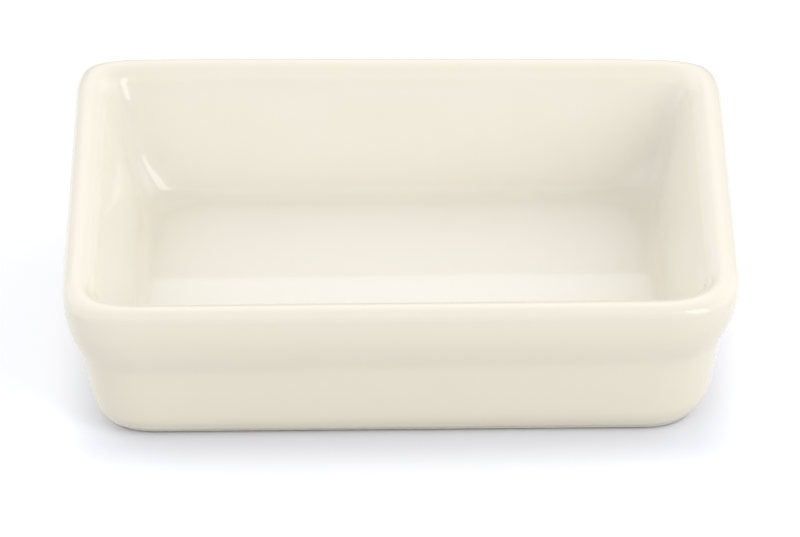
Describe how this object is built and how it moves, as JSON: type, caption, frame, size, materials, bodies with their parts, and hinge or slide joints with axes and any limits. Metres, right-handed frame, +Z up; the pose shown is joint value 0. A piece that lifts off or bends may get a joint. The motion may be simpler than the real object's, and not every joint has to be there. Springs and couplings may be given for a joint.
{
  "type": "sauce dish",
  "caption": "Small rectangular stoneware sauce dish with rounded corners, a rolled rim, a soft shoulder round the outside and an ivory gloss glaze, standing on a dry foot ring.",
  "frame": {"origin": "on the table plane under the centre of the dish", "axes": "+X along the length, +Y along the width, +Z up through the open top"},
  "size_m": [0.102, 0.076, 0.0255],
  "materials": {
    "stoneware": "bare fired stoneware, matt and slightly grainy",
    "glaze": "ivory gloss glaze, smooth and opaque"
  },
  "bodies": {
    "root": {"clay_body": "stoneware", "glaze_coat": "glaze", "base_glaze": "glaze"}
  },
  "joints": []
}
